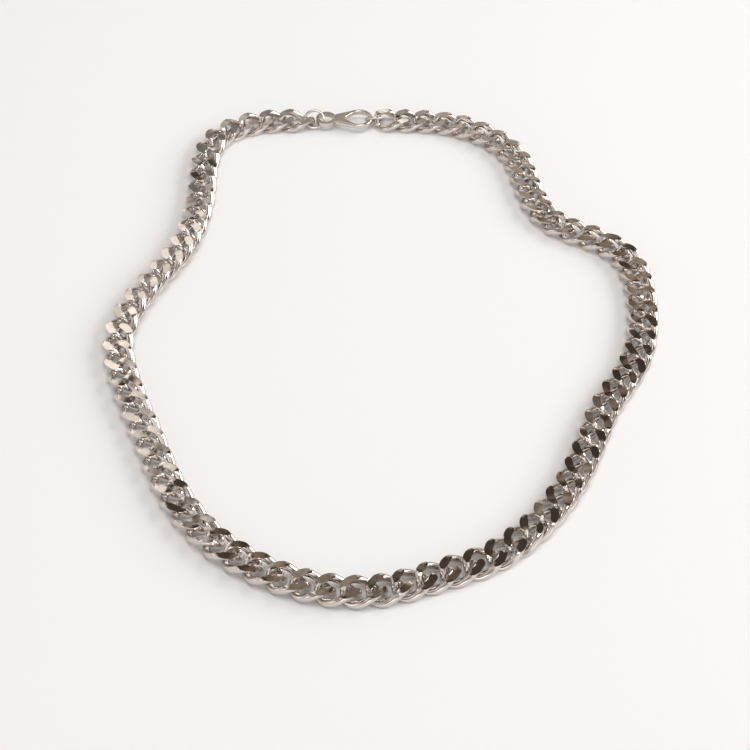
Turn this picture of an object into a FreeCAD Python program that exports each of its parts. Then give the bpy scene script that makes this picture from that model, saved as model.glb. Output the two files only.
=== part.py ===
import FreeCAD, Part

import math
import os
from collections import namedtuple
from FreeCAD import Placement, Rotation, Vector
from Sketcher import Constraint

# Curb chain necklace, fastened and lying flat as one closed loop on the plane z = 0.
# The viewer's side is -Y, and the clasp lies at the middle of the far side, +Y.
# The origin is the centre of the bounding box at its bottom.

# Driving sizes in millimetres, degrees and counts
Size = namedtuple("Size", "alias value meaning")
SIZES = (
    Size("link_length", 9.9, "one link over its two ends"),
    Size("link_width", 7.5, "one link over its two sides"),
    Size("link_wire", 1.8, "the wire that the links are bent from"),
    Size("link_twist", 54, "turn of the loop about its length, middle to end"),
    Size("link_squareness", 3, "power of the rounded oblong, where 2 is an oval"),
    Size("link_thickness", 3.1, "between the two faces that are cut flat"),
    Size("loop_sides", 14, "straight runs in one link's loop"),
    Size("link_count", 81, "links from clasp to clasp"),
    Size("first_link_at", 14.0, "first link's middle along the route"),
    Size("ring_wire", 0.76, "wire of the two small rings"),
    Size("ring_radius", 2.4, "a small ring at the middle of its wire"),
    Size("ring_tilt", 45, "a small ring's lean from the flat"),
    Size("ring_reach", 4.7, "from an end link's middle to its ring's middle"),
    Size("clasp_length", 15.2, "the clasp over its two ends"),
    Size("hook_thickness", 1.4, "the clasp's hook, top to bottom"),
    Size("hook_edge", 0.42, "rounding of the hook's edges"),
    Size("hook_wall", 1.0, "metal round the hook's opening at its end"),
    Size("hook_radius", 3.7, "round end of the hook"),
    Size("neck_radius", 2.0, "round end of the hook at the clasp's neck"),
    Size("neck_at", 6.4, "from the clasp's small end to the middle of its neck"),
    Size("opening_length", 6.2, "the opening in the hook"),
    Size("opening_end", 1.1, "radius of that opening's narrow end"),
    Size("eye_radius", 2.7, "the eye at the clasp's small end"),
    Size("eye_wall", 0.88, "metal round the eye's hole"),
    Size("eye_thickness", 1.1, "the eye, top to bottom"),
)

# The route of the chain's middle line, counter-clockwise from the clasp as seen from above.
# roll leans the links about the line of the chain, plus for the inner side raised.
# pitch is the step from link to link there: long where the chain is drawn out, short
# where it is slack.
Spot = namedtuple("Spot", "x y roll pitch")
ROUTE = (
    Spot(-8.9, 79.4, 0, 5.4),
    Spot(-22.9, 79.1, 0, 5.4),
    Spot(-34.5, 77.7, 0, 5.4),
    Spot(-42.9, 72.0, 0, 5.4),
    Spot(-46.2, 61.8, 0, 5.4),
    Spot(-46.3, 49.8, 0, 5.4),
    Spot(-47.1, 37.8, 3, 5.4),
    Spot(-49.9, 25.8, 8, 5.4),
    Spot(-55.1, 14.8, 13, 5.75),
    Spot(-59.8, 4.3, 10, 5.75),
    Spot(-61.7, -6.2, 4, 5.75),
    Spot(-59.9, -16.2, 0, 5.75),
    Spot(-56.2, -26.7, 0, 5.75),
    Spot(-51.9, -37.2, 0, 5.75),
    Spot(-47.5, -48.2, 0, 5.75),
    Spot(-41.5, -59.2, -2, 5.75),
    Spot(-33.4, -68.4, -3, 5.5),
    Spot(-23.2, -75.2, -4, 5.35),
    Spot(-11.4, -79.2, -4, 5.25),
    Spot(0.1, -79.2, -4, 5.25),
    Spot(11.1, -75.6, -3, 5.25),
    Spot(21.6, -71.2, -2, 5.25),
    Spot(30.1, -64.4, -2, 5.15),
    Spot(36.7, -56.2, -2, 5.05),
    Spot(41.9, -47.0, -2, 5.05),
    Spot(45.9, -37.2, -2, 5.05),
    Spot(50.1, -27.2, -2, 5.05),
    Spot(55.5, -18.0, 0, 5.05),
    Spot(59.6, -8.2, 0, 5.05),
    Spot(61.5, 2.8, 0, 5.05),
    Spot(61.7, 13.8, 0, 5.05),
    Spot(59.1, 23.8, 0, 5.05),
    Spot(51.9, 30.6, 0, 5.25),
    Spot(44.0, 35.6, 0, 5.25),
    Spot(39.2, 43.4, 0, 5.25),
    Spot(36.9, 53.3, 0, 5.25),
    Spot(34.3, 64.0, 0, 5.25),
    Spot(27.1, 72.8, 0, 5.25),
    Spot(16.1, 78.0, 0, 5.25),
    Spot(4.1, 79.2, 0, 5.25),
)

ALONG = Vector(1, 0, 0)
UP = Vector(0, 0, 1)

os.makedirs("parts", exist_ok=True)
doc = FreeCAD.newDocument("curb_chain_necklace")


def make_sheet():
    """The sheet of driving sizes, each cell under its alias."""
    sheet = doc.addObject("Spreadsheet::Sheet", "sizes")
    for row, size in enumerate(SIZES, start=1):
        sheet.set(f"A{row}", size.meaning)
        sheet.set(f"B{row}", str(size.value))
        sheet.setAlias(f"B{row}", size.alias)
    doc.recompute()
    return sheet


sheet = make_sheet()


def size(alias):
    """One driving size, read from the sheet."""
    return float(sheet.get(alias))


def signed_power(value, power):
    """A power that keeps the sign of its base."""
    return math.copysign(abs(value) ** power, value)


def loop_point(turn):
    """A point of a link's middle line: a rounded oblong, twisted about its length.

    The twist leans the two ends opposite ways, so that neighbours pass through each other.
    """
    half_length = (size("link_length") - size("link_wire")) / 2
    half_width = (size("link_width") - size("link_wire")) / 2
    power = 2 / size("link_squareness")
    along = signed_power(math.cos(turn), power)
    aside = half_width * signed_power(math.sin(turn), power)
    lean = -math.radians(size("link_twist")) * along
    return Vector(half_length * along, aside * math.cos(lean), aside * math.sin(lean))


def wire_section(turn):
    """Six corners round a link's wire, none of them beyond the flat faces.

    The corners lie on the round of the wire, two level with its middle and two above and
    below. Where the wire would rise past a face, its pair of corners lies on that face.
    """
    step = math.radians(2)
    radius = size("link_wire") / 2
    face = size("link_thickness") / 2
    middle = loop_point(turn)
    travel = loop_point(turn + step) - loop_point(turn - step)
    travel.normalize()
    across = Vector(travel.y, -travel.x, 0).normalize()
    upright = across.cross(travel)
    even = math.sin(math.radians(60))
    top = min(even, (face - middle.z) / (radius * upright.z))
    bottom = min(even, (face + middle.z) / (radius * upright.z))
    top_half = math.sqrt(1 - top ** 2)
    bottom_half = math.sqrt(1 - bottom ** 2)
    corners = ((1, 0), (top_half, top), (-top_half, top),
               (-1, 0), (-bottom_half, -bottom), (bottom_half, -bottom))
    return [middle + across * (radius * side) + upright * (radius * rise)
            for side, rise in corners]


def make_link():
    """One curb link: a faceted twisted loop with a flat face above and below."""
    runs = int(size("loop_sides"))
    rings = [wire_section(2 * math.pi * run / runs) for run in range(runs)]
    faces = []
    for run in range(runs):
        here, ahead = rings[run], rings[(run + 1) % runs]
        for side, corner in enumerate(here):
            beside = (side + 1) % len(here)
            near, far = (corner, ahead[side], ahead[beside]), (corner, ahead[beside], here[beside])
            for corners in (near, far):
                faces.append(Part.Face(Part.makePolygon([*corners, corners[0]])))
    solid = Part.makeSolid(Part.makeShell(faces))
    if solid.Volume < 0:
        solid.reverse()
    return solid.removeSplitter()


def heading_of(run):
    """The turn about the vertical that points +X along a level run."""
    return Rotation(UP, math.degrees(math.atan2(run.y, run.x)))


def route_curve():
    """The closed smooth curve through the route's spots."""
    curve = Part.BSplineCurve()
    curve.interpolate(Points=[Vector(spot.x, spot.y, 0) for spot in ROUTE], PeriodicFlag=True)
    return curve


def value_at(distance, marks):
    """A value at a distance along the route, straight-line between the marked spots."""
    for (start, value), (end, next_value) in zip(marks, marks[1:]):
        if start <= distance <= end:
            return value + (next_value - value) * (distance - start) / (end - start)
    return marks[0][1]


def link_placements(link):
    """Where each link lies: on the route, along it, leaned, and touching z = 0."""
    curve = route_curve()
    first = curve.FirstParameter
    starts = [curve.length(first, curve.parameter(Vector(spot.x, spot.y, 0)))
              for spot in ROUTE[1:]]
    starts = [0, *starts, curve.length()]
    closed = (*ROUTE, ROUTE[0])
    rolls = [(start, spot.roll) for start, spot in zip(starts, closed)]
    pitches = [(start, spot.pitch) for start, spot in zip(starts, closed)]
    places = []
    distance = size("first_link_at")
    for number in range(int(size("link_count"))):
        parameter = curve.parameterAtDistance(distance, first)
        point = curve.value(parameter)
        travel = curve.tangent(parameter)[0]
        lean = Placement(Vector(), Rotation(ALONG, value_at(distance, rolls)))
        lowest = min(lean.multVec(corner.Point).z for corner in link.Vertexes)
        ground = Placement(Vector(point.x, point.y, -lowest), heading_of(travel))
        places.append(ground * lean)
        distance += value_at(distance, pitches)
    gap = (places[0].Base - places[-1].Base).Length
    print(f"route {curve.length():.1f} mm round, {len(places)} links, {gap:.2f} mm to close")
    return places


def make_chain(link, places):
    """All the links in one node, each through its two neighbours."""
    links = []
    for place in places:
        copy = link.copy()
        copy.Placement = place
        links.append(copy)
    chain = doc.addObject("Part::Feature", "curb_chain")
    chain.Shape = Part.makeCompound(links)
    chain.Label = "curb_chain"
    return chain


def ring_height():
    """How high a leaning ring's middle is when its lowest point touches z = 0."""
    return size("ring_radius") * math.sin(math.radians(size("ring_tilt"))) + size("ring_wire") / 2


def make_ring(name, link_middle, heading, side):
    """A small closed ring through an end link. side is -1 behind the link, +1 ahead of it."""
    ring = doc.addObject("Part::Torus", name)
    ring.setExpression("Radius1", "sizes.ring_radius")
    ring.setExpression("Radius2", "sizes.ring_wire / 2")
    ring.Label = name
    middle = link_middle + heading.multVec(Vector(side * size("ring_reach"), 0, 0))
    stand = Placement(Vector(middle.x, middle.y, ring_height()), heading)
    ring.Placement = stand * Placement(Vector(), Rotation(ALONG, side * size("ring_tilt")))
    return ring


def sketch_on(body, name, plane="XY_Plane"):
    """An empty sketch on one of the body's own origin planes."""
    sketch = body.newObject("Sketcher::SketchObject", name)
    origin = [part for part in body.Origin.OriginFeatures if part.Role == plane][0]
    sketch.AttachmentSupport = [(origin, "")]
    sketch.MapMode = "FlatFace"
    return sketch


def bind(sketch, constraint, name, expression):
    """Add a size to the sketch, under a name and tied to the sheet."""
    last = sketch.addConstraint(constraint)
    sketch.renameConstraint(last, name)
    sketch.setExpression(f"Constraints.{name}", expression)


def place_arc(sketch, arc, name, radius, middle):
    """Keep an arc or circle on the clasp's long axis, by expressions on the sheet."""
    sketch.addConstraint(Constraint("PointOnObject", arc, 3, -1))
    bind(sketch, Constraint("Radius", arc, sheet.evalExpression(radius)),
         f"{name}_radius", radius)
    bind(sketch, Constraint("DistanceX", -1, 1, arc, 3, sheet.evalExpression(middle)),
         f"{name}_middle", middle)


def draw_circle(sketch, name, radius, middle):
    """A circle on the clasp's long axis."""
    place = Vector(sheet.evalExpression(middle), 0, 0)
    circle = sketch.addGeometry(Part.Circle(place, UP, sheet.evalExpression(radius)), False)
    place_arc(sketch, circle, name, radius, middle)


def draw_drop(sketch, name, near, far):
    """A round near end and a larger far end, joined by straight sides that touch both.

    near and far each hold the expressions for a radius and a middle on the long axis.
    """
    near_radius, near_at = [sheet.evalExpression(term) for term in near]
    far_radius, far_at = [sheet.evalExpression(term) for term in far]
    slope = math.acos((near_radius - far_radius) / (far_at - near_at))
    near_middle, far_middle = Vector(near_at, 0, 0), Vector(far_at, 0, 0)
    over = Vector(math.cos(slope), math.sin(slope), 0)
    under = Vector(over.x, -over.y, 0)
    near_arc = Part.ArcOfCircle(Part.Circle(near_middle, UP, near_radius),
                                slope, 2 * math.pi - slope)
    far_arc = Part.ArcOfCircle(Part.Circle(far_middle, UP, far_radius), -slope, slope)
    under_side = Part.LineSegment(near_middle + under * near_radius,
                                  far_middle + under * far_radius)
    over_side = Part.LineSegment(far_middle + over * far_radius,
                                 near_middle + over * near_radius)
    loop = sketch.addGeometry([near_arc, under_side, far_arc, over_side], False)
    for before, after in zip(loop, (*loop[1:], loop[0])):
        sketch.addConstraint(Constraint("Tangent", before, 2, after, 1))
    place_arc(sketch, loop[0], f"{name}_near", *near)
    place_arc(sketch, loop[2], f"{name}_far", *far)


def pad(body, sketch, name, thickness):
    """Raise a sketch by equal amounts on both sides of its plane."""
    feature = body.newObject("PartDesign::Pad", name)
    feature.Profile = sketch
    feature.Midplane = True
    feature.setExpression("Length", thickness)
    return feature


def make_clasp(start, end):
    """One plain clasp, its small eye towards start and its hook towards end.

    It is held level in the two rings, whose wires pass under its ends.
    """
    body = doc.addObject("PartDesign::Body", "clasp")
    body.Label = "clasp"
    hook_middle = "sizes.clasp_length - sizes.hook_radius"
    opening_middle = ("sizes.clasp_length - sizes.hook_wall - sizes.opening_length"
                      " + sizes.opening_end")

    outline = sketch_on(body, "hook_outline")
    draw_drop(outline, "outside", ("sizes.neck_radius", "sizes.neck_at"),
              ("sizes.hook_radius", hook_middle))
    draw_drop(outline, "opening", ("sizes.opening_end", opening_middle),
              ("sizes.hook_radius - sizes.hook_wall", hook_middle))
    hook = pad(body, outline, "hook_block", "sizes.hook_thickness")
    doc.recompute()

    rims = [f"Edge{number}" for number, edge in enumerate(hook.Shape.Edges, start=1)
            if abs(edge.BoundBox.ZMax - edge.BoundBox.ZMin) < size("hook_edge")]
    rounding = body.newObject("PartDesign::Fillet", "hook_rounding")
    rounding.Base = (hook, rims)
    rounding.setExpression("Radius", "sizes.hook_edge")

    eye_outline = sketch_on(body, "eye_outline")
    draw_circle(eye_outline, "eye", "sizes.eye_radius", "sizes.eye_radius")
    pad(body, eye_outline, "eye_block", "sizes.eye_thickness")
    doc.recompute()
    solid_volume = body.Shape.Volume

    eye_hole = sketch_on(body, "eye_hole")
    draw_circle(eye_hole, "hole", "sizes.eye_radius - sizes.eye_wall", "sizes.eye_radius")
    eye_cut = body.newObject("PartDesign::Pocket", "eye_cut")
    eye_cut.Profile = eye_hole
    eye_cut.Midplane = True
    eye_cut.setExpression("Length", "sizes.hook_thickness * 2")
    doc.recompute()
    hole_radius = size("eye_radius") - size("eye_wall")
    hole_volume = math.pi * hole_radius ** 2 * size("eye_thickness")
    if solid_volume - body.Shape.Volume < hole_volume * 0.9:
        raise RuntimeError("the clasp's eye has no hole")

    heading = heading_of(end - start)
    middle = (start + end) * 0.5
    corner = middle - heading.multVec(Vector(size("clasp_length") / 2, 0, 0))
    body.Placement = Placement(Vector(corner.x, corner.y, ring_height()), heading)
    return body


link = make_link()
places = link_placements(link)
chain = make_chain(link, places)
first_end, last_end = places[0].Base, places[-1].Base
closing = heading_of(first_end - last_end)
clasp_ring = make_ring("clasp_ring", first_end, closing, -1)
end_ring = make_ring("end_ring", last_end, closing, 1)
clasp = make_clasp(first_end, last_end)
doc.recompute()
nodes = [chain, clasp_ring, end_ring, clasp]

# The whole is moved so that the origin is the centre of its box, at the bottom
box = FreeCAD.BoundBox()
for node in nodes:
    box.add(node.Shape.optimalBoundingBox(False))
centring = Placement(Vector(-box.Center.x, -box.Center.y, 0), Rotation())
for node in nodes:
    node.Placement = centring * node.Placement
doc.recompute()
print(f"moved by {-box.Center.x:.3f}, {-box.Center.y:.3f} mm; "
      f"box {box.XLength:.2f} x {box.YLength:.2f} x {box.ZLength:.2f} mm, bottom {box.ZMin:.4f}")

failed = [item.Name for item in doc.Objects if {"Invalid", "Error"} & set(item.State)]
bad = [node.Label for node in nodes if node.Shape.isNull() or not node.Shape.isValid()]
if failed or bad:
    raise RuntimeError(f"failed objects {failed}, bad shapes {bad}")

for node in nodes:
    print(f"{node.Label}: {len(node.Shape.Solids)} solids, {node.Shape.Volume:.1f} mm3")
    node.Shape.exportStep(f"parts/{node.Label}.step")
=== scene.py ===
import math

import bpy
import numpy as np
from mathutils import Euler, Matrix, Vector


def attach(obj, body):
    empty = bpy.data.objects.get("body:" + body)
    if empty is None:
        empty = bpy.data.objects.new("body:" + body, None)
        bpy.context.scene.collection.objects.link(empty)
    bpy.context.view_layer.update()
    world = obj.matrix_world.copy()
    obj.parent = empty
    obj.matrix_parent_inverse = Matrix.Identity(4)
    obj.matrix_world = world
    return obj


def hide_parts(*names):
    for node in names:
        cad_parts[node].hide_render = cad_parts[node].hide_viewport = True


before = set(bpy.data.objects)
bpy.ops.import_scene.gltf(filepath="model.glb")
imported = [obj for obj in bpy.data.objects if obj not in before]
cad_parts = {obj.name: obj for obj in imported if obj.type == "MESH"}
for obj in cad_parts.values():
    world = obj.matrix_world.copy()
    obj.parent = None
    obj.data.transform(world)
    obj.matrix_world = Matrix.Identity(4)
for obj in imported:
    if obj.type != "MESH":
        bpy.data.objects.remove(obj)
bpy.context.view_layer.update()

MM = 0.001

# A link of the chain: its length, its width and the height between its flats, its wire,
# how far it twists from its middle to each end, and how square its oblong is
LINK_SIZE = (9.9 * MM, 7.5 * MM, 3.1 * MM)
LINK_WIRE = 1.8 * MM
LINK_TWIST = math.radians(54)
LINK_SQUARENESS = 3

# How finely a link is drawn: its sections, the corners along the top and up each side of
# half a section, and the samples that space the sections evenly
LINK_RUNS = 50
TOP_CORNERS = 7
SIDE_CORNERS = 3
TURN_SAMPLES = 4001

# Where the top of an uncut section starts, as a share of the wire's radius
EVEN_RISE = math.sin(math.radians(60))

# Faces that meet more steeply than this have a sharp edge between them
EDGE_ANGLE = math.radians(24)

# How unevenly the upper flats were ground: the spread of their slopes, and its seed
FACE_SLOPE = 0.06
FACE_SEED = 41

# Decimal places that tell two corners of the plain chain apart
CORNER_DIGITS = 7

# The camera looks down at the front of the loop
CAMERA_AT = Vector((-1.99, -292.01, 276.35)) * MM
CAMERA_DOWN = math.radians(45)
CLIP_START = 10 * MM
FOCAL_PIXELS = 1700
PICTURE_WIDTH = 750
SENSOR_WIDTH = 36

# The steel: fine marks that vary its roughness, and a slow swell of its surface
STEEL_COLOUR = (0.68, 0.628, 0.59, 1)
MARK_SCALE = 420
MARK_DETAIL = 4
MARK_RANGE = (0.35, 0.7)
MARK_ROUGHNESS = (0.05, 0.13)
SWELL_SCALE = 260
SWELL_DETAIL = 2
SWELL_STRENGTH = 0.6
SWELL_HEIGHT = 0.08 * MM

# The surface that the chain lies on
FLOOR_COLOUR = (0.865, 0.87, 0.88, 1)
FLOOR_ROUGHNESS = 0.9
FLOOR_GLOSS = 0.1
FLOOR_SIZE = 6.0

# The lights: name, place, width, height, power and colour
LIGHTS = (
    ("key", (1.3, 0.3, 0.75), 1.2, 1.0, 16, (0.98, 0.99, 1)),
    ("top", (0.15, -0.1, 1.3), 0.7, 0.7, 5, (1, 0.99, 0.98)),
)

# The way from the chain to the middle of the surround's dark patch
DARK_TOWARDS = (0.24, 0.55, 0.80)

# The surround's uneven brightness: the scale, detail and place of the noise, the range of
# it that is used, and the strengths that this range gives
CLOUD_SCALE = 2.6
CLOUD_DETAIL = 2
CLOUD_SHIFT = (3.1, -2.2, 0.9)
CLOUD_RANGE = (0.45, 0.60)
CLOUD_STRENGTH = (0.25, 2)

# The surround's colours, from the side away from the dark patch to the patch's middle
SURROUND = (
    (0, (1.0, 0.98, 0.97)),
    (0.45, (0.85, 0.82, 0.80)),
    (0.8, (0.32, 0.28, 0.25)),
    (0.93, (0.80, 0.76, 0.71)),
    (0.957, (0.78, 0.73, 0.67)),
    (0.974, (0.31, 0.245, 0.19)),
    (1, (0.20, 0.15, 0.11)),
)


def merged_parts(mesh):
    """The corner positions of each loose part of a mesh, as a list of arrays."""
    count = len(mesh.vertices)
    places = np.empty(count * 3)
    mesh.vertices.foreach_get("co", places)
    places = places.reshape(count, 3)
    rounded = np.round(places, CORNER_DIGITS)
    merged, index = np.unique(rounded, axis=0, return_inverse=True)
    index = index.ravel()
    parent = np.arange(len(merged))

    def root(item):
        while parent[item] != item:
            parent[item] = parent[parent[item]]
            item = parent[item]
        return item

    for edge in mesh.edges:
        first, second = (root(index[vertex]) for vertex in edge.vertices)
        parent[first] = second
    roots = np.array([root(item) for item in range(len(merged))])
    return [merged[roots == name] for name in np.unique(roots)]


def link_frame(corners):
    """A plain link's middle and its axes (along, aside, up) as rows."""
    middle = corners.mean(axis=0)
    spread = np.cov((corners - middle).T)
    axes = np.linalg.eigh(spread)[1].T[::-1]
    up = axes[2] * np.sign(axes[2][2])
    along = axes[0]
    aside = np.cross(up, along)
    return middle, np.array([along, aside, up])


def signed_power(value, power):
    """A power that keeps the sign of its base."""
    return np.sign(value) * np.abs(value) ** power


def loop_line(turn):
    """A link's middle line at the angles turn: a rounded oblong twisted about its length."""
    half_length = (LINK_SIZE[0] - LINK_WIRE) / 2
    half_width = (LINK_SIZE[1] - LINK_WIRE) / 2
    power = 2 / LINK_SQUARENESS
    along = signed_power(np.cos(turn), power)
    aside = half_width * signed_power(np.sin(turn), power)
    lean = -LINK_TWIST * along
    return np.stack([half_length * along, aside * np.cos(lean), aside * np.sin(lean)], axis=1)


def even_turns():
    """Angles that step evenly along a link's middle line."""
    fine = np.linspace(0, 2 * math.pi, TURN_SAMPLES)
    steps = np.linalg.norm(np.diff(loop_line(fine), axis=0), axis=1)
    travelled = np.concatenate([[0], np.cumsum(steps)])
    marks = (np.arange(LINK_RUNS) + 0.5) * travelled[-1] / LINK_RUNS
    return np.interp(marks, travelled, fine)


def half_section(level):
    """Corners over half a section of wire of radius 1, cut flat if level is below EVEN_RISE."""
    edge = math.asin(level)
    flat = level < EVEN_RISE
    corners = []
    for step in range(SIDE_CORNERS):
        angle = edge * step / SIDE_CORNERS
        corners.append((math.cos(angle), math.sin(angle)))
    for step in range(TOP_CORNERS):
        share = step / (TOP_CORNERS - 1)
        angle = edge + (math.pi - 2 * edge) * share
        x = math.cos(edge) * (1 - 2 * share) if flat else math.cos(angle)
        y = level if flat else math.sin(angle)
        corners.append((x, y))
    for step in range(SIDE_CORNERS - 1, 0, -1):
        angle = math.pi - edge * step / SIDE_CORNERS
        corners.append((math.cos(angle), math.sin(angle)))
    return corners


def section_shape(top, bottom):
    """Corners round one section of wire of radius 1, cut level at heights top and -bottom."""
    return half_section(top) + [(-x, -y) for x, y in half_section(bottom)]


def link_points(turns, slope):
    """All the corners of one link in its own frame, section by section."""
    radius = LINK_WIRE / 2
    face = LINK_SIZE[2] / 2
    step = math.radians(1)
    middle = loop_line(turns)
    travel = loop_line(turns + step) - loop_line(turns - step)
    travel /= np.linalg.norm(travel, axis=1)[:, None]
    across = np.stack([travel[:, 1], -travel[:, 0], np.zeros(len(turns))], axis=1)
    across /= np.linalg.norm(across, axis=1)[:, None]
    upright = np.cross(across, travel)
    points = []
    for place, side, rise in zip(middle, across, upright):
        top_face = face + slope[0] * place[0] + slope[1] * place[1]
        top = min(EVEN_RISE, (top_face - place[2]) / (radius * rise[2]))
        bottom = min(EVEN_RISE, (face + place[2]) / (radius * rise[2]))
        shape = np.array(section_shape(top, bottom)) * radius
        points.append(place + shape[:, :1] * side + shape[:, 1:] * rise)
    return np.concatenate(points)


def link_faces(sides):
    """Four-cornered faces of one link, for sections of this many corners."""
    faces = []
    for run in range(LINK_RUNS):
        here, ahead = run * sides, (run + 1) % LINK_RUNS * sides
        for side in range(sides):
            beside = (side + 1) % sides
            faces.append((here + side, ahead + side, ahead + beside, here + beside))
    return faces


def build_chain():
    """Every link of the plain chain again, with round wire and ground flats, as one mesh."""
    draw = np.random.default_rng(FACE_SEED)
    turns = even_turns()
    points, faces = [], []
    for corners in merged_parts(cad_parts["curb_chain"].data):
        middle, axes = link_frame(corners)
        local = link_points(turns, draw.normal(0, FACE_SLOPE, 2))
        sides = len(local) // LINK_RUNS
        start = sum(len(item) for item in points)
        points.append(local @ axes + middle)
        faces += [tuple(start + corner for corner in face) for face in link_faces(sides)]
    mesh = bpy.data.meshes.new("curb_links")
    mesh.from_pydata(np.concatenate(points).tolist(), [], faces)
    mesh.update()
    mesh.polygons.foreach_set("use_smooth", [True] * len(mesh.polygons))
    mesh.set_sharp_from_angle(angle=EDGE_ANGLE)
    piece = bpy.data.objects.new("curb_links", mesh)
    bpy.context.scene.collection.objects.link(piece)
    return piece


def add_range(nodes, links, source, range_from, range_to):
    """A node that maps one range of values onto another."""
    node = nodes.new("ShaderNodeMapRange")
    node.inputs["From Min"].default_value, node.inputs["From Max"].default_value = range_from
    node.inputs["To Min"].default_value, node.inputs["To Max"].default_value = range_to
    links.new(source, node.inputs["Value"])
    return node


def add_noise(nodes, links, place, scale, detail):
    """A noise node of this scale, read at a place."""
    node = nodes.new("ShaderNodeTexNoise")
    node.inputs["Scale"].default_value = scale
    node.inputs["Detail"].default_value = detail
    links.new(place, node.inputs["Vector"])
    return node


def steel_material():
    """Polished stainless steel with fine handling marks and slightly uneven flats."""
    material = bpy.data.materials.new("steel")
    material.use_nodes = True
    nodes, links = material.node_tree.nodes, material.node_tree.links
    shader = nodes["Principled BSDF"]
    shader.inputs["Metallic"].default_value = 1
    shader.inputs["Base Color"].default_value = STEEL_COLOUR
    place = nodes.new("ShaderNodeTexCoord").outputs["Object"]
    marks = add_noise(nodes, links, place, MARK_SCALE, MARK_DETAIL)
    roughness = add_range(nodes, links, marks.outputs["Fac"], MARK_RANGE, MARK_ROUGHNESS)
    links.new(roughness.outputs["Result"], shader.inputs["Roughness"])
    swell = add_noise(nodes, links, place, SWELL_SCALE, SWELL_DETAIL)
    bump = nodes.new("ShaderNodeBump")
    bump.inputs["Strength"].default_value = SWELL_STRENGTH
    bump.inputs["Distance"].default_value = SWELL_HEIGHT
    links.new(swell.outputs["Fac"], bump.inputs["Height"])
    links.new(bump.outputs["Normal"], shader.inputs["Normal"])
    return material


def floor_material():
    """A plain matt off-white surface."""
    material = bpy.data.materials.new("pale_floor")
    material.use_nodes = True
    shader = material.node_tree.nodes["Principled BSDF"]
    shader.inputs["Base Color"].default_value = FLOOR_COLOUR
    shader.inputs["Roughness"].default_value = FLOOR_ROUGHNESS
    shader.inputs["Specular IOR Level"].default_value = FLOOR_GLOSS
    return material


def build_floor():
    """The plane that the chain lies on."""
    half = FLOOR_SIZE / 2
    mesh = bpy.data.meshes.new("floor")
    mesh.from_pydata([(-half, -half, 0), (half, -half, 0), (half, half, 0), (-half, half, 0)],
                     [], [(0, 1, 2, 3)])
    mesh.materials.append(floor_material())
    piece = bpy.data.objects.new("floor", mesh)
    bpy.context.scene.collection.objects.link(piece)


def add_camera():
    """The camera in front of the loop, looking down at it."""
    camera = bpy.data.cameras.new("camera")
    camera.sensor_width = SENSOR_WIDTH
    camera.lens = SENSOR_WIDTH * FOCAL_PIXELS / PICTURE_WIDTH
    camera.clip_start = CLIP_START
    piece = bpy.data.objects.new("camera", camera)
    piece.location = CAMERA_AT
    piece.rotation_euler = Euler((math.pi / 2 - CAMERA_DOWN, 0, 0))
    bpy.context.scene.collection.objects.link(piece)
    bpy.context.scene.camera = piece


def add_area_light(name, place, width, height, power, colour):
    """A rectangular softbox aimed at the middle of the chain."""
    light = bpy.data.lights.new(name, "AREA")
    light.shape = "RECTANGLE"
    light.size, light.size_y = width, height
    light.energy = power
    light.color = colour
    piece = bpy.data.objects.new(name, light)
    piece.location = place
    piece.rotation_euler = (-Vector(place)).to_track_quat("-Z", "Y").to_euler()
    bpy.context.scene.collection.objects.link(piece)


def build_world():
    """A pale uneven surround with a warm dark patch high above the loop's far side."""
    world = bpy.data.worlds.new("surround")
    bpy.context.scene.world = world
    world.use_nodes = True
    nodes, links = world.node_tree.nodes, world.node_tree.links
    place = nodes.new("ShaderNodeTexCoord").outputs["Generated"]
    towards = nodes.new("ShaderNodeVectorMath")
    towards.operation = "DOT_PRODUCT"
    towards.inputs[1].default_value = DARK_TOWARDS
    links.new(place, towards.inputs[0])
    share = add_range(nodes, links, towards.outputs["Value"], (-1, 1), (0, 1))
    ramp = nodes.new("ShaderNodeValToRGB")
    links.new(share.outputs["Result"], ramp.inputs["Fac"])
    elements = ramp.color_ramp.elements
    elements[0].position, elements[1].position = SURROUND[0][0], SURROUND[-1][0]
    elements[0].color, elements[1].color = (*SURROUND[0][1], 1), (*SURROUND[-1][1], 1)
    for position, colour in SURROUND[1:-1]:
        elements.new(position).color = (*colour, 1)

    shift = nodes.new("ShaderNodeVectorMath")
    shift.inputs[1].default_value = CLOUD_SHIFT
    links.new(place, shift.inputs[0])
    clouds = add_noise(nodes, links, shift.outputs["Vector"], CLOUD_SCALE, CLOUD_DETAIL)
    strength = add_range(nodes, links, clouds.outputs["Fac"], CLOUD_RANGE, CLOUD_STRENGTH)
    surround = nodes["Background"]
    links.new(ramp.outputs["Color"], surround.inputs["Color"])
    links.new(strength.outputs["Result"], surround.inputs["Strength"])


steel = steel_material()
chain = build_chain()
chain.data.materials.append(steel)
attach(chain, "root")
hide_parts("curb_chain")

for name in ("clasp", "clasp_ring", "end_ring"):
    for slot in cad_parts[name].material_slots:
        slot.material = steel

bpy.context.scene.view_settings.view_transform = "Standard"
build_floor()
add_camera()
build_world()
for light in LIGHTS:
    add_area_light(*light)
